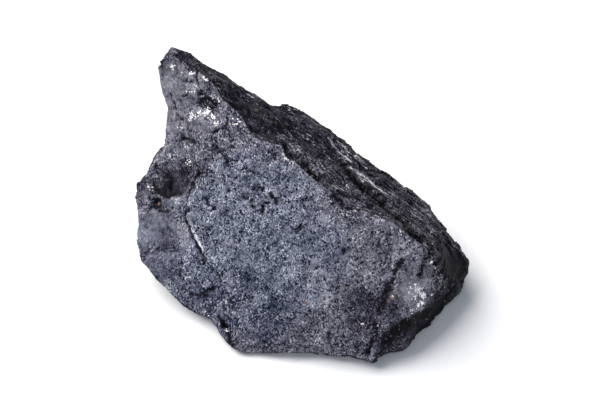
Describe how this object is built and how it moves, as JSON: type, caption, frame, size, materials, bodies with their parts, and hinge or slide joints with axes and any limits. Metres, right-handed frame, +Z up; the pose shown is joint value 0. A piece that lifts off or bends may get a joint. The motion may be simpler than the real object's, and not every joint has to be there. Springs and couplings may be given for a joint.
{
  "type": "lump charcoal",
  "caption": "Broken lump of black coal-like charcoal with a broad dull bedding face, a raised horn, dark layered sides and a flat underside it rests on.",
  "frame": {"origin": "bottom centre of the bounding box, on the plane of the flat underside", "axes": "+Z up, +X along the lump from its left lobe to its right tip, +Y from the low front edge to the raised horn at the back"},
  "size_m": [0.0914, 0.074, 0.045],
  "materials": {
    "charcoal": "dull granular blue-grey bedding face with glossy black layered broken sides and small bright glints"
  },
  "bodies": {
    "root": {"lump": "charcoal"}
  },
  "joints": []
}
